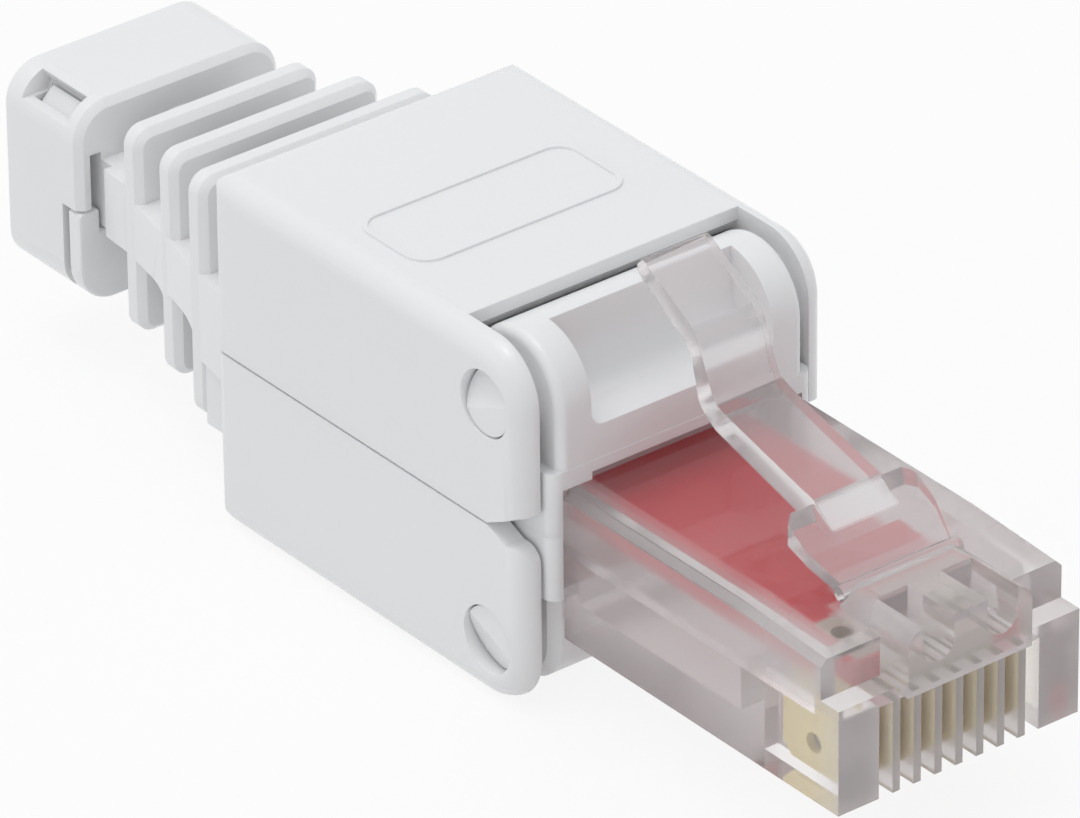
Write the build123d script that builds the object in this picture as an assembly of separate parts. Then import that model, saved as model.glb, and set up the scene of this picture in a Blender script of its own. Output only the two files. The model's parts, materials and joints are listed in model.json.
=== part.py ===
"""Field termination ethernet plug: clear plug nose, two wire carriers on a circuit board,
two hinged lids, strain relief tail and cable clamp. Millimetres, +X is the plugging direction, +Z is up."""
import os

from build123d import *

# Overall size; the lower lid's underside is at z = 0 and the length is centred on x = 0
overall_length = 54.0
shell_width = 15.0
shell_height = 15.7
parting_gap = 0.1

# Plug nose; setbacks count backwards from the plug's front face, rises count up from its underside
plug_width = 11.68
plug_height = 6.5
plug_front_height = 6.25
taper_end = 6.0
nose_height = 4.55
nose_step = 1.05
plug_bevel = 0.3
plug_drop = 4.5
plug_tongue = 1.5
tongue_rise = 2.2
plug_wall = 0.84
plug_side_wall = 1.1
plug_floor = 1.2
ledge_rise = 3.3
ledge_width = 0.5
floor_front = 6.6
front_wall = 2.0

# Contacts and their slots in the plug
contact_count = 8
contact_pitch = 1.016
fin_thickness = 0.36
slot_length = 5.4
slot_height = 4.0
contact_thickness = 0.35
contact_inset = 0.6
contact_lift = 0.35
contact_length = 3.9
contact_hole = 0.44
contact_hole_sides = 10
contact_hole_setback = 2.7
contact_hole_rise = 1.5
contact_height = 3.6
contact_foot_start = 2.3
contact_corner = 0.5

# Root block of the latch on the plug nose, with its two scoops
nose_overhang = 0.6
root_length = 3.4
root_half_width = 3.0
root_rise = 4.3
root_top = 7.15
root_corner = 0.9
scoop_offset = 1.55
scoop_width = 1.5
scoop_rise = 5.4
scoop_length = 2.7

# Latch: lever outline as (setback, rise) pairs, and its wide front part
latch_hinge_setback = 3.55
latch_hinge_rise = 6.85
latch_hinge_radius = 0.3
latch_running_fit = 0.05
lever_outline = [(17.0, 15.0), (13.6, 13.1), (12.5, 10.55), (11.8, 10.3), (6.65, 9.0), (5.7, 8.27),
                 (3.75, 7.12), (3.75, 6.62), (5.4, 7.45), (8.0, 8.18), (12.5, 9.4), (13.4, 10.1),
                 (13.9, 12.2), (17.1, 14.2)]
lever_rounds = [0.3, 0.8, 0.5, 0.8, 0, 0, 0, 0, 0, 0, 1.2, 0.8, 0.8, 0.3]
lever_half_width = 1.6
wing_outline = [(3.75, 7.12), (6.65, 8.83), (6.65, 7.85), (5.4, 7.45), (3.75, 6.62)]
wing_plan = [(3.5, 2.6), (5.2, 3.1), (6.3, 3.1), (6.65, 2.7), (6.9, 0.0)]
wing_limit = 4.0

# Circuit board
board_thickness = 1.0
board_half_width = 3.7
board_start = 2.05
board_end = 26.9
board_wide_start = 20.5
board_wide_half = 5.0
board_notch_rise = 5.0
board_hole = 0.9
board_hole_setback = 3.4
board_hole_side = 2.9

# Hinge pins and the round posts that carry them; both sit on each carrier
pin_setback = 19.0
pin_radius = 1.35
pin_running_fit = 0.08
pin_face_recess = 0.1
pin_ramp_turn = 22.3
pin_ramp_line = 0.18
pin_ramp_tilt = 20.0
post_radius = 2.65
lower_post_radius = 2.15
post_width = 1.53
post_gap = 0.6
post_edge = 0.4

# Carriers
carrier_setback = 16.33
block_gap = 0.15
block_rise = 2.8
block_end = 19.65
pocket_floor = 4.25
pocket_wall_front = 18.9
pocket_round = 1.2
pocket_corner = 0.6
lip_gap_top = 2.33
lip_gap_depth = 1.2
comb_gap = 0.95
comb_end = 27.2
comb_rise = 3.7
shelf_reach = 3.2
carrier_front_edge = 0.5

# Wire slots, wire forks and their pockets
wire_pitch = 2.6
wire_slot_width = 1.1
wire_slot_rise = 1.9
wire_slot_start = 22.0
fork_setback = 24.5
fork_thickness = 0.4
fork_width = 1.4
fork_rise = 3.4
fork_slot_width = 0.35
fork_slot_rise = 1.7
fork_fit = 0.05

# Lids
lid_setback = 16.8
shell_end = 36.0
lid_wall = 0.95
lid_plate = 1.15
lid_rear_wall = 1.1
lid_edge_radius = 1.0
rear_edge_radius = 0.8
lower_rear_radius = 1.7
rear_corner_radius = 0.5
cheek_corner_radius = 2.4
notch_start = 18.9
notch_end = 17.2
notch_rise = 0.86
notch_edge = 0.35
lower_notch_end = 17.84
lower_notch_drop = 0.45
lower_notch_edge = 0.77
plate_setback = 2.1
swing_gap = 0.3
presser_width = 0.8
presser_drop = 2.95
presser_front = (22.6, 23.8)
presser_rear = (25.1, 26.9)
label_setback = 27.2
label_length = 4.4
label_width = 10.4
label_side = 0.6
label_corner = 1.1
label_line = 0.22
label_height = 0.1

# Strain relief tail, joined to the upper lid
bore_radius = 3.4
mouth_radius = 3.2
cap_front_radius = 2.95
collar_start = 36.3
collar_end = 36.9
collar_half = 6.75
collar_top = 11.3
collar_bottom = -2.85
collar_corner = 1.5
web_half = 6.3
rib_thickness = 1.18
rib_setbacks = (38.87, 41.74, 44.92)
rib_halves = (5.87, 5.15, 4.55)
rib_tops = (10.06, 9.6, 9.07)
rib_bottoms = (-0.8, -0.45, -0.1)
rib_corner = 0.8
rib_edge = 0.3
collar_edge = 0.2
spine_bottom = 3.3
spine_top = 5.85
spine_rear_top = 6.35
slot_round = 0.35
lower_slot_round = 1.4
spine_end = 47.55
spine_end_half = 4.3
lower_web_end = 38.9
neck_half = 3.9
cap_start = 48.26
cap_end = 53.4
cap_half = 5.05
cap_top = 8.87
cap_bottom = -0.05
cap_corner = 1.6
cap_rear_edge = 0.35
cap_front_edge = 0.3
cap_recess_depth = 1.2
cap_recess_wall = 0.6
cap_recess_bottom = 2.9
cap_recess_top = 6.7

# Cable clamp and its slots in the cap
clamp_gap = 0.12
jaw_thickness = 0.8
jaw_top = 4.15
jaw_groove = 0.35
arm_length = 2.3
clamp_rear_wall = 1.6
arm_outer = 4.35
arm_inner = 3.65
arm_top = 8.25
arm_tip_drop = 0.7
base_top = 0.9
saddle_half = 2.4
window_start = 49.1
window_end = 52.1
window_top_side = 3.9
window_drop = 7.85
neck_clearance = 0.15

# Positions worked out from the sizes
arm_end = cap_end - clamp_rear_wall
arm_start = arm_end - arm_length
x_front = overall_length / 2
x_face = x_front - nose_overhang
z_parting = shell_height / 2
z_plug = z_parting - plug_drop
z_board_top = z_parting + board_thickness / 2
z_pin = shell_height - post_radius
x_pin = x_face - pin_setback
half = shell_width / 2
cheek_inner = half - lid_wall
block_half = cheek_inner - block_gap
post_half_outer = cheek_inner - post_gap
post_half_inner = post_half_outer - post_width
comb_half = cheek_inner - comb_gap
pin_reach = half - pin_face_recess


def back(setback):
    """X position of a setback behind the plug's front face."""
    return x_face - setback


def rise(height):
    """Z position of a height above the plug's underside."""
    return z_plug + height


def block(x0, x1, y0, y1, z0, z1):
    """Box between two corners."""
    centre = ((x0 + x1) / 2, (y0 + y1) / 2, (z0 + z1) / 2)
    return Pos(*centre) * Box(abs(x1 - x0), abs(y1 - y0), abs(z1 - z0))


def outline(points, radii=None):
    """Flat polygon whose corners are rounded by the radii, in order."""
    face = Polygon(*points, align=None)
    for point, radius in zip(points, radii or []):
        if radius:
            corner = face.vertices().sort_by_distance(Vector(*point))[0]
            face = fillet(corner, radius)
    return face


def rectangle(a0, a1, b0, b1, radii=(0, 0, 0, 0)):
    """Rectangle from (a0, b0), turning anticlockwise, with one radius per corner."""
    return outline([(a0, b0), (a1, b0), (a1, b1), (a0, b1)], radii)


def along_y(face, y0, y1):
    """Extrude an X-Z outline from y0 to y1."""
    return extrude(Plane.XZ.offset(-y1) * face, amount=y1 - y0, dir=(0, -1, 0))


def along_x(face, x0, x1):
    """Extrude a Y-Z outline from x0 to x1."""
    return extrude(Plane.YZ.offset(x0) * face, amount=x1 - x0, dir=(1, 0, 0))


def along_z(face, z0, z1):
    """Extrude an X-Y outline from z0 to z1."""
    return extrude(Plane.XY.offset(z0) * face, amount=z1 - z0, dir=(0, 0, 1))


def rod(x, z, radius, y0, y1):
    """Cylinder along Y."""
    return Pos(x, (y0 + y1) / 2, z) * Rot(90, 0, 0) * Cylinder(radius, y1 - y0)


def pipe(x0, x1, radius, y=0.0, z=z_parting):
    """Cylinder along X."""
    return Pos((x0 + x1) / 2, y, z) * Rot(0, 90, 0) * Cylinder(radius, abs(x1 - x0))


def flip(shape):
    """Mirror through the parting plane."""
    return mirror(shape, Plane.XY.offset(z_parting))


def setback_outline(pairs, radii=None):
    """Outline from (setback, rise) pairs."""
    return outline([(back(s), rise(h)) for s, h in pairs], radii)


def eased_plate(section, x0, x1, ease):
    """Plate along X with the edges of both faces chamfered."""
    body = along_x(section, x0, x1)
    return chamfer(body.faces().filter_by(Axis.X).edges(), ease)


def wire_rows():
    """Y positions of the four wires on one side."""
    return [wire_pitch * (i - 1.5) for i in range(contact_count // 2)]


def plug_section(height):
    """Plug section with bevelled top edges."""
    hw, b = plug_width / 2, plug_bevel
    return outline([(-hw, rise(0)), (hw, rise(0)), (hw, rise(height) - b), (hw - b, rise(height)),
                    (b - hw, rise(height)), (-hw, rise(height) - b)])


def make_plug_housing():
    """Clear plug body with contact slots, board cavity and latch root."""
    hw = plug_width / 2
    x_rear = back(carrier_setback)
    ends = [Plane.YZ.offset(back(taper_end)) * plug_section(plug_height),
            Plane.YZ.offset(back(nose_step)) * plug_section(plug_front_height)]
    body = along_x(plug_section(plug_height), x_rear, back(taper_end)) + loft(ends)
    body += block(back(nose_step), x_face, -hw, hw, rise(0), rise(nose_height))
    body += block(x_rear - plug_tongue, x_rear, -hw, hw, rise(tongue_rise), rise(plug_height))
    body += along_x(rectangle(-root_half_width, root_half_width, rise(root_rise), rise(root_top),
                              (0, 0, root_corner, root_corner)), back(root_length), x_front)
    side = hw - plug_side_wall
    low = side - ledge_width
    body -= block(x_rear - plug_tongue, back(front_wall), -side, side,
                  rise(ledge_rise), rise(plug_height - plug_wall))
    body -= block(x_rear - plug_tongue, back(floor_front), -low, low, rise(plug_floor), rise(ledge_rise))
    for side_sign in (-1, 1):
        y = side_sign * scoop_offset
        w = scoop_width / 2
        scoop = rectangle(y - w, y + w, rise(scoop_rise), rise(root_top) + w, (w * 0.99, w * 0.99, 0, 0))
        body -= along_x(scoop, x_front - scoop_length, x_front)
    body -= rod(back(latch_hinge_setback), rise(latch_hinge_rise), latch_hinge_radius + latch_running_fit,
                -root_half_width, root_half_width)
    slot_half = (contact_pitch - fin_thickness) / 2
    for i in range(contact_count):
        y = contact_pitch * (i - (contact_count - 1) / 2)
        body -= block(back(slot_length), x_face, y - slot_half, y + slot_half, rise(0), rise(slot_height))
    return body


def make_contact(index):
    """Gold blade with cut wiping corners and a foot on the board's underside."""
    y = contact_pitch * (index - (contact_count - 1) / 2)
    x1 = back(contact_inset)
    x0 = x1 - contact_length
    z0, c = rise(contact_lift), contact_corner
    blade = outline([(x0, z0 + c), (x0 + c, z0), (x1 - c, z0), (x1, z0 + c), (x1, rise(contact_height)),
                     (x0, rise(contact_height))])
    foot = rectangle(x0, back(contact_foot_start), rise(contact_height), z_board_top - board_thickness)
    t = contact_thickness / 2
    hole = Pos(back(contact_hole_setback), rise(contact_hole_rise))
    hole *= RegularPolygon(contact_hole, contact_hole_sides)
    return along_y(blade + foot - hole, y - t, y + t)


def make_latch():
    """Lever with its wide front part and a round root that turns in the plug's root block."""
    lever = along_y(setback_outline(lever_outline, lever_rounds), -lever_half_width, lever_half_width)
    sides = [(back(s), y) for s, y in wing_plan] + [(back(s), -y) for s, y in reversed(wing_plan[:-1])]
    wing = along_y(setback_outline(wing_outline), -wing_limit, wing_limit)
    wing &= along_z(outline(sides), rise(0), rise(root_top + root_top))
    hinge = rod(back(latch_hinge_setback), rise(latch_hinge_rise), latch_hinge_radius,
                -root_half_width + parting_gap, root_half_width - parting_gap)
    return lever + wing + hinge


def make_board():
    """Circuit board, narrow in the plug and wide between the carriers."""
    z0 = z_board_top - board_thickness
    board = block(back(board_end), back(board_start), -board_half_width, board_half_width, z0, z_board_top)
    board += block(back(board_end), back(board_wide_start), -board_wide_half, board_wide_half,
                   z0, z_board_top)
    for side_sign in (-1, 1):
        spot = Pos(back(board_hole_setback), side_sign * board_hole_side, z_parting)
        board -= spot * Cylinder(board_hole / 2, board_thickness * 2)
    return board


def make_fork(y, up):
    """Wire fork that stands on the board and splits round one wire."""
    w, s = fork_width / 2, fork_slot_width / 2
    x = back(fork_setback)
    top = z_parting + fork_rise
    body = block(x - fork_thickness / 2, x + fork_thickness / 2, y - w, y + w, z_board_top, top)
    body -= block(x - fork_thickness, x + fork_thickness, y - s, y + s, z_parting + fork_slot_rise, top)
    return body if up else flip(body)


def pin_pair():
    """Two hinge pins in the upper position, each with a ramp on its outer end for snapping the lid on."""
    pins = []
    wide = 4 * pin_radius
    for side_sign in (-1, 1):
        y0, y1 = sorted((side_sign * post_half_inner, side_sign * pin_reach))
        place = Pos(x_pin, side_sign * pin_reach, z_pin) * Rot(0, -pin_ramp_turn, 0)
        place *= Pos(0, 0, -pin_ramp_line) * Rot(side_sign * pin_ramp_tilt, 0, 0)
        tool = place * Pos(0, side_sign * wide / 2, 0) * Box(wide, wide, wide)
        pins.append(rod(x_pin, z_pin, pin_radius, y0, y1) - tool)
    return pins


def carrier_half(tongue_reach, radius):
    """Body, posts and tongue socket that the two carriers share, drawn in the upper position."""
    x0, x1 = back(block_end), back(carrier_setback)
    z0 = z_parting
    bw, pw = block_half, post_half_outer
    r = carrier_front_edge
    plan = rectangle(x0, x1, -bw, bw, (0, r, r, 0))
    body = along_z(plan, z0, z0 + block_rise)
    profile = Pos(x_pin, z_pin) * Circle(radius)
    profile += rectangle(x_pin - radius, x_pin + radius, z0, z_pin)
    posts = along_y(profile, -pw, pw)
    rims = [e for e in posts.faces().filter_by(Axis.Y).edges() if e.center().Z > z0 + post_edge]
    body += fillet(rims, post_edge) if radius == post_radius else chamfer(rims, post_edge)
    body += block(back(comb_end), x0, -comb_half, comb_half, z0, z0 + comb_rise)
    body += block(x_pin - shelf_reach, x_pin, -comb_half, comb_half, z0, shell_height - lid_plate - swing_gap)
    for y in wire_rows():
        w = wire_slot_width / 2
        body -= block(back(comb_end), back(wire_slot_start), y - w, y + w,
                      z0 + wire_slot_rise, z0 + comb_rise)
        f = fork_fit
        x, t, fw = back(fork_setback), fork_thickness / 2 + f, fork_width / 2 + f
        body -= block(x - t, x + t, y - fw, y + fw, z0, z0 + comb_rise)
    f = fork_fit
    body -= block(back(board_end) - f, x1, -board_half_width - f, board_half_width + f, z0, z_board_top)
    body -= block(back(board_end) - f, back(board_wide_start) + f, -board_wide_half - f, board_wide_half + f,
                  z0, z_board_top)
    tongue = plug_width / 2
    body -= block(x1 - plug_tongue, x1, -tongue, tongue, z0, z0 + tongue_reach)
    return body


def make_upper_carrier():
    """Upper carrier with the pocket that takes the latch tip."""
    body = carrier_half(plug_height - plug_drop, post_radius)
    y = post_half_inner
    z_floor = z_parting + pocket_floor
    far = z_pin + post_radius + 1
    r, c = pocket_round, pocket_corner
    pocket = along_y(rectangle(back(pocket_wall_front), x_front, z_floor, far, (r, 0, 0, 0)), -y, y)
    body -= pocket & along_x(rectangle(-y, y, z_floor, far, (c, c, 0, 0)), back(pocket_wall_front), x_front)
    body -= block(back(carrier_setback) - lip_gap_depth, back(carrier_setback), -y, y,
                  rise(plug_height), z_parting + lip_gap_top)
    for pin in pin_pair():
        body += pin
    return body


def make_lower_carrier():
    """Lower carrier; its underside carries the second pair of hinge pins."""
    body = carrier_half(plug_drop - tongue_rise, lower_post_radius)
    for pin in pin_pair():
        body += pin
    return flip(body)


def lid_interior():
    """Room inside a lid for the carriers and wires, drawn for the upper lid."""
    z_top = shell_height - lid_plate
    room = block(back(shell_end) + lid_rear_wall, x_front, -cheek_inner, cheek_inner, z_parting - 1, z_top)
    sweep = rod(x_pin, z_pin, post_radius + swing_gap, -cheek_inner, cheek_inner)
    mouth = block(x_pin, x_front, -cheek_inner, cheek_inner, z_parting, shell_height + 1)
    mouth += block(x_pin - plate_setback, x_front, -cheek_inner, cheek_inner, z_pin, shell_height + 1)
    return room + sweep + mouth


def lid_shell(profile):
    """Outer lid block with rounded long edges, cheeks and rear corners, cut to its side profile."""
    x0, x1 = back(shell_end), back(lid_setback)
    r, bottom = lid_edge_radius, z_parting - 1
    body = along_y(rectangle(x0 - r, x1, bottom, shell_height, (0, 0, cheek_corner_radius, 0)), -half, half)
    rims = [e for e in body.faces().filter_by(Axis.Y).edges()
            if e.center().X > x0 and e.center().Z > bottom + r]
    body = fillet(rims, r) & along_y(profile, -half, half)
    c = rear_corner_radius
    return body & along_z(rectangle(x0, x1 + r, -half, half, (c, 0, 0, c)), 0, shell_height)


def pressers():
    """Rows of short ribs that press the wires into the forks, drawn for the upper lid."""
    rows = []
    for y in wire_rows():
        w = presser_width / 2
        for start, end in (presser_front, presser_rear):
            rows.append(block(back(end), back(start), y - w, y + w, z_parting + presser_drop,
                              shell_height - lid_plate))
    return rows


def hinge_holes():
    """Bores in both cheeks for the hinge pins."""
    return rod(x_pin, z_pin, pin_radius + pin_running_fit, -half, half)


def cap_outline(inset=0.0, bottom=cap_bottom):
    """Rounded section of the tail's cap."""
    r = cap_corner - inset
    h = cap_half - inset
    return rectangle(-h, h, rise(bottom) + inset, rise(cap_top) - inset, (r, r, r, r))


def bridge(x0, x1, top, lower_slot):
    """Side outline of the spine between two ribs, with its slots' rounded ends above and below."""
    low = rise(spine_bottom) - lower_slot_round
    r = slot_round
    face = rectangle(x0, x1, low, top + r)
    face -= rectangle(x0, x1, top, top + 2 * r, (r, r, 0, 0))
    if lower_slot:
        face -= rectangle(x0, x1, low - 1, rise(spine_bottom), (0, 0, lower_slot_round, r))
    return face


def make_tail():
    """Collar, ribs, side spines and cap round the cable's bore."""
    r = collar_corner
    section = rectangle(-collar_half, collar_half, rise(collar_bottom), rise(collar_top), (r, r, r, r))
    tail = eased_plate(section, back(collar_end), back(collar_start), collar_edge)
    tail += block(back(collar_start), back(shell_end) + lid_rear_wall / 2, -web_half, web_half,
                  z_parting + parting_gap, rise(collar_top) - collar_corner)
    for setback, h, top, bottom in zip(rib_setbacks, rib_halves, rib_tops, rib_bottoms):
        section = rectangle(-h, h, rise(bottom), rise(top), (rib_corner,) * 4)
        tail += eased_plate(section, back(setback) - rib_thickness, back(setback), rib_edge)
    plan = [(back(collar_end), web_half)]
    for setback, h in zip(rib_setbacks, rib_halves):
        plan.append((back(setback) - rib_thickness, h - rib_edge / 2))
    plan.append((back(spine_end), spine_end_half))
    plan_outline = outline(plan + [(x, -y) for x, y in reversed(plan)])
    gaps = [(collar_end, rib_setbacks[0])]
    gaps += [(a + rib_thickness, b) for a, b in zip(rib_setbacks, rib_setbacks[1:])]
    overlap = rib_thickness / 2
    for number, (front, rear) in enumerate(gaps):
        spine = along_y(bridge(back(rear) - overlap, back(front) + overlap, rise(spine_top), number > 0),
                        -web_half, web_half)
        tail += spine & along_z(plan_outline, rise(cap_bottom), rise(cap_top))
    last = rectangle(back(spine_end), back(rib_setbacks[-1] + overlap),
                     rise(spine_bottom), rise(spine_rear_top))
    tail += along_y(last, -web_half, web_half) & along_z(plan_outline, rise(cap_bottom), rise(cap_top))
    tail += block(back(cap_end), back(spine_end), -neck_half, neck_half,
                  rise(spine_bottom), rise(spine_rear_top))
    tail += block(back(lower_web_end), back(collar_end), -rib_halves[0], rib_halves[0], rise(rib_bottoms[0]),
                  rise(spine_bottom))
    cap = along_x(cap_outline(), back(cap_end), back(cap_start))
    cap = chamfer(cap.faces().sort_by(Axis.X)[-1].edges(), cap_front_edge)
    cap = chamfer(cap.faces().sort_by(Axis.X)[0].edges(), cap_rear_edge)
    recess = along_x(cap_outline(cap_recess_wall), back(cap_start) - cap_recess_depth, back(cap_start))
    recess &= block(back(cap_end), x_front, -cap_half, cap_half,
                    rise(cap_recess_bottom), rise(cap_recess_top))
    recess -= block(back(cap_end), x_front, -neck_half, neck_half, rise(cap_bottom), rise(cap_top))
    tail += cap - recess
    tail -= pipe(back(cap_end), back(shell_end) + lid_rear_wall, cap_front_radius)
    tail -= pipe(back(cap_end), back(arm_end + clamp_gap), mouth_radius)
    tail -= pipe(back(arm_end + clamp_gap), back(cap_start) - jaw_thickness, bore_radius)
    tail -= pipe(back(cap_start), back(shell_end) + lid_rear_wall, bore_radius)
    return tail


def clamp_room():
    """Everything cut out of the cap for the clamp: jaw, base, arm slot and window."""
    g = clamp_gap
    x_jaw = back(cap_start) - jaw_thickness
    room = block(x_jaw - jaw_groove, back(cap_start), -cap_half, cap_half,
                 rise(cap_bottom), rise(jaw_top) + g)
    room -= block(x_jaw - jaw_groove, back(cap_start), -neck_half, neck_half,
                  rise(spine_bottom), rise(spine_rear_top))
    room += block(back(arm_end) - g, x_jaw, -arm_outer - g, arm_outer + g,
                  rise(cap_bottom), rise(base_top) + g)
    room += block(back(arm_end) - g, back(arm_start) + g, -saddle_half - g, saddle_half + g,
                  rise(cap_bottom), z_parting)
    room += block(back(arm_end) - g, back(arm_start) + g, -arm_outer - g, -arm_inner + g,
                  rise(cap_bottom), rise(arm_top) + g)
    window = [(-cap_half, rise(window_drop)), (-arm_inner, rise(window_drop)),
              (-arm_inner + g, rise(arm_top)), (-window_top_side, rise(cap_top)),
              (-cap_half, rise(cap_top))]
    room += along_x(outline(window), back(window_end), back(window_start))
    return room


def make_clamp():
    """Front jaw, base with a saddle under the cable, and the arm whose tip shows in the window."""
    x_front_face = back(cap_start)
    x_jaw = x_front_face - jaw_thickness
    jaw = along_x(cap_outline(), x_jaw, x_front_face)
    jaw &= block(x_jaw, x_front_face, -cap_half, cap_half, rise(cap_bottom), rise(jaw_top))
    n = neck_half + neck_clearance
    jaw -= block(x_jaw, x_front_face, -n, n, rise(spine_bottom) - neck_clearance, rise(jaw_top))
    base = block(back(arm_end), x_jaw, -arm_outer, arm_outer, rise(cap_bottom), rise(base_top))
    saddle = block(back(arm_end), back(arm_start), -saddle_half, saddle_half, rise(base_top), z_parting)
    tip = [(-arm_outer, rise(cap_bottom)), (-arm_inner, rise(cap_bottom)), (-arm_inner, rise(arm_top)),
           (-arm_outer, rise(arm_top) - arm_tip_drop)]
    arm = along_x(outline(tip), back(arm_end), back(arm_start))
    body = (jaw + base + saddle + arm) & along_x(cap_outline(), back(arm_end), x_front_face)
    body -= pipe(back(cap_end), x_front_face, bore_radius)
    return body


def make_upper_lid():
    """Upper lid with cheeks, label frame, pressers and the whole tail."""
    x0, x1 = back(shell_end), back(lid_setback)
    z0 = z_parting + parting_gap / 2
    profile = outline([(x0, z0), (back(notch_start), z0), (back(notch_end), z0 + notch_rise),
                       (x1, z0 + notch_rise), (x1, shell_height), (x0, shell_height)],
                      (0, 0, 0, notch_edge, 0, rear_edge_radius))
    body = lid_shell(profile) - lid_interior()
    for rib in pressers():
        body += rib
    body -= hinge_holes()
    frame = rectangle(back(label_setback) - label_length / 2, back(label_setback) + label_length / 2,
                      -label_width / 2 - label_side, label_width / 2 - label_side, (label_corner,) * 4)
    inner = offset(frame, amount=-label_line)
    body += along_z(frame - inner, shell_height - label_line, shell_height + label_height)
    body -= pipe(back(shell_end), back(shell_end) + lid_rear_wall, bore_radius)
    body += make_tail()
    body -= clamp_room()
    return body


def make_lower_lid():
    """Lower lid; its rear wall is cut back on an arc so that it swings past the collar."""
    x0, x1 = back(shell_end), back(lid_setback)
    z0 = z_parting + parting_gap / 2
    profile = outline([(x0, z0), (back(notch_start), z0), (back(lower_notch_end), z0 + lower_notch_drop),
                       (x1, z0 + lower_notch_drop), (x1, shell_height), (x0, shell_height)],
                      (0, 0, 0, lower_notch_edge, 0, lower_rear_radius))
    body = lid_shell(profile) - lid_interior()
    for rib in pressers():
        body += rib
    body -= hinge_holes()
    body -= pipe(back(shell_end), back(shell_end) + lid_rear_wall, bore_radius)
    swing = collar_start - pin_setback - parting_gap
    y = collar_half + swing_gap
    keep = rod(x_pin, z_pin, swing, -y, y)
    trim = block(x0 - 1, x0 + lid_rear_wall * 2, -y, y, z0, shell_height) - keep
    body -= trim
    return flip(body)


def write(shape, name):
    """Write one node and report its solids and size."""
    export_step(shape, f"parts/{name}.step")
    size = shape.bounding_box().size
    print(f"{name}: solids {len(shape.solids())} volume {shape.volume:.2f} "
          f"size {size.X:.2f} {size.Y:.2f} {size.Z:.2f}")


os.makedirs("parts", exist_ok=True)
write(make_plug_housing(), "plug_housing")
write(make_latch(), "latch_tab")
write(make_board(), "circuit_board")
for number in range(contact_count):
    write(make_contact(number), f"contact_{number + 1}")
for number, y_row in enumerate(wire_rows()):
    write(make_fork(y_row, True), f"upper_fork_{number + 1}")
    write(make_fork(y_row, False), f"lower_fork_{number + 1}")
write(make_upper_carrier(), "upper_carrier")
write(make_lower_carrier(), "lower_carrier")
write(make_upper_lid(), "upper_lid")
write(make_lower_lid(), "lower_lid")
write(make_clamp(), "cable_clamp")
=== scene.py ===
"""Looks of the field termination ethernet plug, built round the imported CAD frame."""

import json
import math

import bpy
from mathutils import Matrix, Vector


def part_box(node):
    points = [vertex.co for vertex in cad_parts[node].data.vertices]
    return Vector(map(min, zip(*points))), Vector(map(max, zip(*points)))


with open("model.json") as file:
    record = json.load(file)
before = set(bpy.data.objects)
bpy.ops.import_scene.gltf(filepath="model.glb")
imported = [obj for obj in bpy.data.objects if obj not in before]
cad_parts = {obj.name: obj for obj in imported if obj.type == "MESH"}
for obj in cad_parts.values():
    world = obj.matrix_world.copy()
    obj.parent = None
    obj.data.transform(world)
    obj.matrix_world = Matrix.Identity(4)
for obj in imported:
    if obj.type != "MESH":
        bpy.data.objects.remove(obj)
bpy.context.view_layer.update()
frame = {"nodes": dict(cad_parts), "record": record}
nodes = frame["nodes"]
MM = 0.001
FAR = 1.0
EVERY = (-FAR, FAR)

# Places in the nose, from the outermost contact and the board
contact_low, contact_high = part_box("contact_1")
board_low, board_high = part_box("circuit_board")
latch_low, latch_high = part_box("latch_tab")
contact_rear = contact_low.x
rim_rear = board_high.x - 0.25 * MM
thin_wall_front = contact_rear - 0.7 * MM
roof_bottom = board_high.z + 0.35 * MM
outer_wall = -contact_low.y + 0.07 * MM
roof_half = 4.4 * MM
head_half = 3.3 * MM
pad_inner_side = 2.2 * MM
bare_half = 3.45 * MM
rim_gap_half = 2.3 * MM
latch_step_half = 1.6 * MM

# Blurs of the limits between zones
LIMIT_BLUR = 0.0001
WALL_BLUR = 0.0008
FRONT_BLUR = 0.0015

# Tints that more than one function or piece uses
BARE_BOARD = (0.66, 0.58, 0.50)
PALE_TINT = (0.97, 0.95, 0.94)


# Node helpers
def new_material(name):
    mat = bpy.data.materials.new(name)
    mat.use_nodes = True
    tree = mat.node_tree
    tree.nodes.clear()
    out = tree.nodes.new("ShaderNodeOutputMaterial")
    shader = tree.nodes.new("ShaderNodeBsdfPrincipled")
    tree.links.new(shader.outputs["BSDF"], out.inputs["Surface"])
    return mat, tree, shader


def feed(tree, socket, value):
    """Gives a socket a node output, a number or a colour."""
    if isinstance(value, bpy.types.NodeSocket):
        tree.links.new(value, socket)
    elif isinstance(value, tuple):
        socket.default_value = (*value, 1)
    else:
        socket.default_value = value


def noise(tree, scale):
    """Noise in object coordinates; the scale is per metre."""
    coords = tree.nodes.new("ShaderNodeTexCoord")
    tex = tree.nodes.new("ShaderNodeTexNoise")
    tex.inputs["Scale"].default_value = scale
    tree.links.new(coords.outputs["Object"], tex.inputs["Vector"])
    return tex.outputs["Fac"]


def ramp(tree, factor, low, high):
    """Colour that goes from low to high with the factor."""
    node = tree.nodes.new("ShaderNodeValToRGB")
    node.color_ramp.elements[0].color = (*low, 1)
    node.color_ramp.elements[1].color = (*high, 1)
    tree.links.new(factor, node.inputs["Fac"])
    return node.outputs["Color"]


def tinted(tree, shader, scale, low, high):
    """Base colour that wanders between two tints."""
    feed(tree, shader.inputs["Base Color"], ramp(tree, noise(tree, scale), low, high))


def roughened(tree, shader, scale, low, high):
    """Roughness that wanders between two values."""
    feed(tree, shader.inputs["Roughness"], ramp(tree, noise(tree, scale), (low,) * 3, (high,) * 3))


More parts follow.
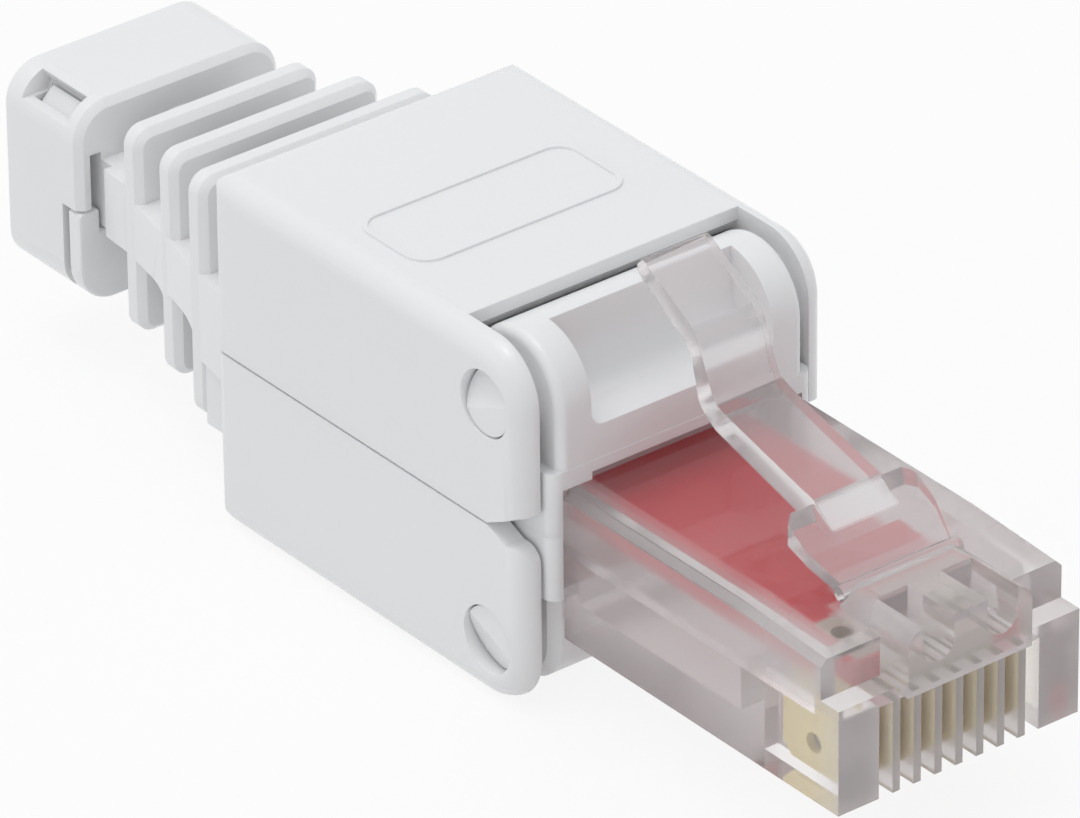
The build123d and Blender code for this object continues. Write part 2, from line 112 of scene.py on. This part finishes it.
def bump(tree, shader, scale, strength, distance):
    """Fine unevenness of the surface; the distance is in metres."""
    node = tree.nodes.new("ShaderNodeBump")
    node.inputs["Strength"].default_value = strength
    node.inputs["Distance"].default_value = distance
    tree.links.new(noise(tree, scale), node.inputs["Height"])
    tree.links.new(node.outputs["Normal"], shader.inputs["Normal"])


def maths(tree, operation, first, second):
    """Result of one calculation on two node outputs or numbers."""
    node = tree.nodes.new("ShaderNodeMath")
    node.operation = operation
    feed(tree, node.inputs[0], first)
    feed(tree, node.inputs[1], second)
    return node.outputs[0]


def band(tree, axis, low, high, blur):
    """One between two object coordinates on an axis, zero outside them."""
    coords = tree.nodes.new("ShaderNodeTexCoord")
    split = tree.nodes.new("ShaderNodeSeparateXYZ")
    tree.links.new(coords.outputs["Object"], split.inputs["Vector"])
    edges = []
    for edge, sign in ((low, 1), (high, -1)):
        step = tree.nodes.new("ShaderNodeMapRange")
        step.inputs["From Min"].default_value = edge - sign * blur
        step.inputs["From Max"].default_value = edge + sign * blur
        tree.links.new(split.outputs[axis], step.inputs["Value"])
        edges.append(step.outputs["Result"])
    return maths(tree, "MULTIPLY", *edges)


def block(tree, x_range, y_range, z_range, blur=LIMIT_BLUR):
    """One inside a box of object coordinates, zero outside it; the blur is that of the X limits."""
    across = maths(tree, "MULTIPLY", band(tree, "X", *x_range, blur), band(tree, "Y", *y_range, LIMIT_BLUR))
    return maths(tree, "MULTIPLY", across, band(tree, "Z", *z_range, LIMIT_BLUR))


def blend(tree, mask, first, second):
    """First outside a mask and second inside it, each a node output, a number or a colour."""
    colours = isinstance(second, tuple)
    node = tree.nodes.new("ShaderNodeMix")
    node.data_type = "RGBA" if colours else "FLOAT"
    first_socket, second_socket, result = (6, 7, 2) if colours else (2, 3, 0)
    tree.links.new(mask, node.inputs["Factor"])
    feed(tree, node.inputs[first_socket], first)
    feed(tree, node.inputs[second_socket], second)
    return node.outputs[result]


def show_mixed(tree, factor, first, second):
    """Links a mix of two shaders to the output of a material or world."""
    mix = tree.nodes.new("ShaderNodeMixShader")
    tree.links.new(factor, mix.inputs["Fac"])
    tree.links.new(first.outputs[0], mix.inputs[1])
    tree.links.new(second.outputs[0], mix.inputs[2])
    out = next(node for node in tree.nodes if node.type.startswith("OUTPUT"))
    tree.links.new(mix.outputs["Shader"], out.inputs["Surface"])


# Materials
def white_plastic():
    mat, tree, shader = new_material("white_moulded_plastic")
    tinted(tree, shader, 90.0, (0.862, 0.867, 0.874), (0.893, 0.893, 0.896))
    roughened(tree, shader, 220.0, 0.21, 0.265)
    bump(tree, shader, 2600.0, strength=0.05, distance=0.00002)
    shader.inputs["Specular IOR Level"].default_value = 0.45
    shader.inputs["Subsurface Weight"].default_value = 0.15
    shader.inputs["Subsurface Radius"].default_value = (1.0, 0.9, 0.8)
    shader.inputs["Subsurface Scale"].default_value = 0.0008
    return mat


def clear_plastic(name, tint, clarity, roughness, zones, pale_boxes=()):
    """Clear plastic with milky and clear zones, which lets lamp light and bounced light through to the board.

    Each zone is a box with its own clarity and roughness. Plastic in a pale box tints light less.
    """
    mat, tree, shader = new_material(name)
    colour = ramp(tree, noise(tree, 160.0), *tint)
    for box in pale_boxes:
        colour = blend(tree, block(tree, *box), colour, PALE_TINT)
    for box, own_clarity, own_roughness in zones:
        mask = block(tree, *box)
        clarity = blend(tree, mask, clarity, own_clarity)
        roughness = blend(tree, mask, roughness, own_roughness)
    feed(tree, shader.inputs["Base Color"], colour)
    feed(tree, shader.inputs["Transmission Weight"], clarity)
    feed(tree, shader.inputs["Roughness"], roughness)
    bump(tree, shader, 500.0, strength=0.10, distance=0.00004)
    shader.inputs["IOR"].default_value = 1.45
    path = tree.nodes.new("ShaderNodeLightPath")
    soft = maths(tree, "MAXIMUM", path.outputs["Is Shadow Ray"], path.outputs["Is Diffuse Ray"])
    through = tree.nodes.new("ShaderNodeBsdfTransparent")
    through.inputs["Color"].default_value = (0.88, 0.86, 0.86, 1)
    show_mixed(tree, soft, shader, through)
    return mat


def plug_plastic():
    """Plastic of the nose: its thin walls over the board and beside the outer contacts are the clearest."""
    wall_x = (thin_wall_front, contact_high.x - 0.2 * MM)
    wall_z = (0.0, board_low.z + 0.05 * MM)
    side_walls = [(wall_x, y_range, wall_z, WALL_BLUR)
                  for y_range in ((-FAR, -outer_wall), (outer_wall, FAR))]
    front = ((contact_rear - 1.1 * MM, FAR), EVERY, EVERY, FRONT_BLUR)
    top_wall = ((0.0, thin_wall_front), (-roof_half, roof_half), (roof_bottom, FAR))
    corner_x = (contact_rear - 0.9 * MM, board_high.x + 0.25 * MM)
    corner = (corner_x, (-roof_half, -pad_inner_side), (roof_bottom, FAR))
    head = ((contact_rear + 0.7 * MM, FAR), (-head_half, head_half), (board_low.z + 0.25 * MM, FAR))
    zones = [
        (front, 0.70, 0.25),
        *((wall, 0.95, 0.08) for wall in side_walls),
        (top_wall, 0.97, 0.05),
        (corner, 0.97, 0.05),
        (head, 0.74, 0.22),
    ]
    tint = ((0.80, 0.765, 0.765), (0.85, 0.82, 0.82))
    return clear_plastic("clear_plastic", tint, 0.84, 0.19, zones, side_walls)


def latch_plastic():
    """Plastic of the latch, milky at the steep step between the lever and its wide front part."""
    step = ((latch_high.x - 3.25 * MM, latch_high.x - 2.25 * MM),
            (-latch_step_half, latch_step_half),
            (latch_low.z + 1.5 * MM, latch_low.z + 2.5 * MM))
    tint = ((0.91, 0.88, 0.885), (0.94, 0.915, 0.92))
    return clear_plastic("clear_latch", tint, 0.88, 0.13, [(step, 0.30, 0.35)])


def board_red():
    """Red solder mask, left out over the contacts and in the middle of the board's front rim."""
    mat, tree, shader = new_material("board_red_mask")
    colour = ramp(tree, noise(tree, 300.0), (0.74, 0.021, 0.036), (0.86, 0.029, 0.049))
    bare = block(tree, (contact_rear, rim_rear), (-bare_half, bare_half), EVERY)
    middle = block(tree, (rim_rear, FAR), (-rim_gap_half, rim_gap_half), EVERY)
    for mask in (bare, middle):
        colour = blend(tree, mask, colour, BARE_BOARD)
    feed(tree, shader.inputs["Base Color"], colour)
    roughened(tree, shader, 500.0, 0.30, 0.40)
    bump(tree, shader, 1500.0, strength=0.08, distance=0.00002)
    return mat


def plated(name, low, high, lumps, metallic):
    """Plated metal between two tints, with rolling lumps of a given strength."""
    mat, tree, shader = new_material(name)
    tinted(tree, shader, 800.0, low, high)
    roughened(tree, shader, 1200.0, 0.28, 0.38)
    bump(tree, shader, 1800.0, strength=lumps, distance=0.00004)
    shader.inputs["Metallic"].default_value = metallic
    return mat


finishes = {
    "white_plastic": white_plastic(),
    "clear_plastic": plug_plastic(),
    "board": board_red(),
    "gold_contact": plated("gold_plate", (0.97, 0.82, 0.42), (1.0, 0.92, 0.54), lumps=0.5, metallic=0.2),
    "tinned_fork": plated("tinned_brass", (0.62, 0.62, 0.60), (0.72, 0.72, 0.70), lumps=0.12, metallic=0.5),
}


# Dressing the pieces
def dress(obj, material):
    obj.data.materials.clear()
    obj.data.materials.append(material)


def soften(obj, width):
    """Moulded edges: welds the imported mesh and rounds its sharp edges."""
    weld = obj.modifiers.new("weld", "WELD")
    weld.merge_threshold = 0.000002
    edge = obj.modifiers.new("edge", "BEVEL")
    edge.width = width
    edge.segments = 2
    edge.limit_method = "ANGLE"
    edge.angle_limit = math.radians(32)
    edge.harden_normals = False
    normals = obj.modifiers.new("normals", "WEIGHTED_NORMAL")
    normals.keep_sharp = True


for part in frame["record"]["subparts"]:
    dress(nodes[part["node"]], finishes[part["material_slot"]])
dress(nodes["latch_tab"], latch_plastic())

edge_widths = {
    "upper_lid": 0.00018,
    "lower_lid": 0.00018,
    "upper_carrier": 0.00015,
    "lower_carrier": 0.00015,
    "cable_clamp": 0.00012,
    "plug_housing": 0.0001,
    "latch_tab": 0.00015,
}
for name, width in edge_widths.items():
    soften(nodes[name], width)

# Camera, as fitted to the photo
azimuth, elevation, roll = math.radians(51.973), math.radians(30.393), math.radians(-0.597)
target = Vector((1.355, -0.084, 7.351)) * MM
distance = 450 * MM
back = Vector((math.sin(azimuth) * math.cos(elevation),
               -math.cos(azimuth) * math.cos(elevation),
               math.sin(elevation)))
right = Vector((math.cos(azimuth), math.sin(azimuth), 0.0))
up = back.cross(right)
right, up = (right * math.cos(roll) + up * math.sin(roll), up * math.cos(roll) - right * math.sin(roll))
lens = bpy.data.cameras.new("camera")
lens.sensor_fit = "HORIZONTAL"
lens.sensor_width = 36.0
lens.lens = 388.52
lens.clip_start = 0.02
lens.clip_end = 10.0
camera = bpy.data.objects.new("camera", lens)
bpy.context.scene.collection.objects.link(camera)
turn = Matrix((right, up, back)).transposed().to_4x4()
camera.matrix_world = Matrix.Translation(target + back * distance) @ turn
bpy.context.scene.camera = camera


# Stage
def show_bright(tree, lit, bright, share):
    """Mixes a bright shader into a lit one for the rays that the camera, gloss and glass see.

    Light that falls on the object comes from the lit shader alone.
    """
    path = tree.nodes.new("ShaderNodeLightPath")
    seen = path.outputs["Is Camera Ray"]
    for name in ("Is Transmission Ray", "Is Glossy Ray"):
        seen = maths(tree, "MAXIMUM", seen, path.outputs[name])
    show_mixed(tree, maths(tree, "MULTIPLY", seen, share), lit, bright)


floor_mat, floor_tree, floor_shader = new_material("floor_white")
floor_shader.inputs["Base Color"].default_value = (0.86, 0.86, 0.86, 1)
floor_shader.inputs["Roughness"].default_value = 0.9
floor_shader.inputs["Specular IOR Level"].default_value = 0.1
show_bright(floor_tree, floor_shader, floor_tree.nodes.new("ShaderNodeEmission"), 0.88)
floor_reach = 3.0
floor_height = -0.00002
corners = [(x * floor_reach, y * floor_reach, floor_height) for x, y in ((-1, -1), (1, -1), (1, 1), (-1, 1))]
floor_mesh = bpy.data.meshes.new("floor")
floor_mesh.from_pydata(corners, [], [(0, 1, 2, 3)])
floor = bpy.data.objects.new("floor", floor_mesh)
bpy.context.scene.collection.objects.link(floor)
floor_mesh.materials.append(floor_mat)

world = bpy.data.worlds.new("studio")
bpy.context.scene.world = world
world.use_nodes = True
sky = world.node_tree
sky.nodes.clear()
sky.nodes.new("ShaderNodeOutputWorld")
ambient = sky.nodes.new("ShaderNodeBackground")
ambient.inputs["Color"].default_value = (0.96, 0.98, 1.0, 1)
ambient.inputs["Strength"].default_value = 0.615
show_bright(sky, ambient, sky.nodes.new("ShaderNodeBackground"), 1.0)


def area_lamp(name, place, size, power):
    """Rectangular lamp that points at the origin; place and size are in metres and power in watts."""
    light = bpy.data.lights.new(name, "AREA")
    light.shape = "RECTANGLE"
    light.size, light.size_y = size
    light.energy = power
    obj = bpy.data.objects.new(name, light)
    bpy.context.scene.collection.objects.link(obj)
    obj.location = place
    obj.rotation_euler = (-Vector(place)).to_track_quat("-Z", "Y").to_euler()


area_lamp("key", place=(-0.10, -0.10, 0.60), size=(0.5, 0.5), power=1.1)
area_lamp("glint", place=(-0.05, -0.12, 0.60), size=(0.08, 0.08), power=0.25)
area_lamp("side", place=(-0.20, -0.60, 0.25), size=(0.5, 0.4), power=0.19)

bpy.context.scene.view_settings.view_transform = "Standard"
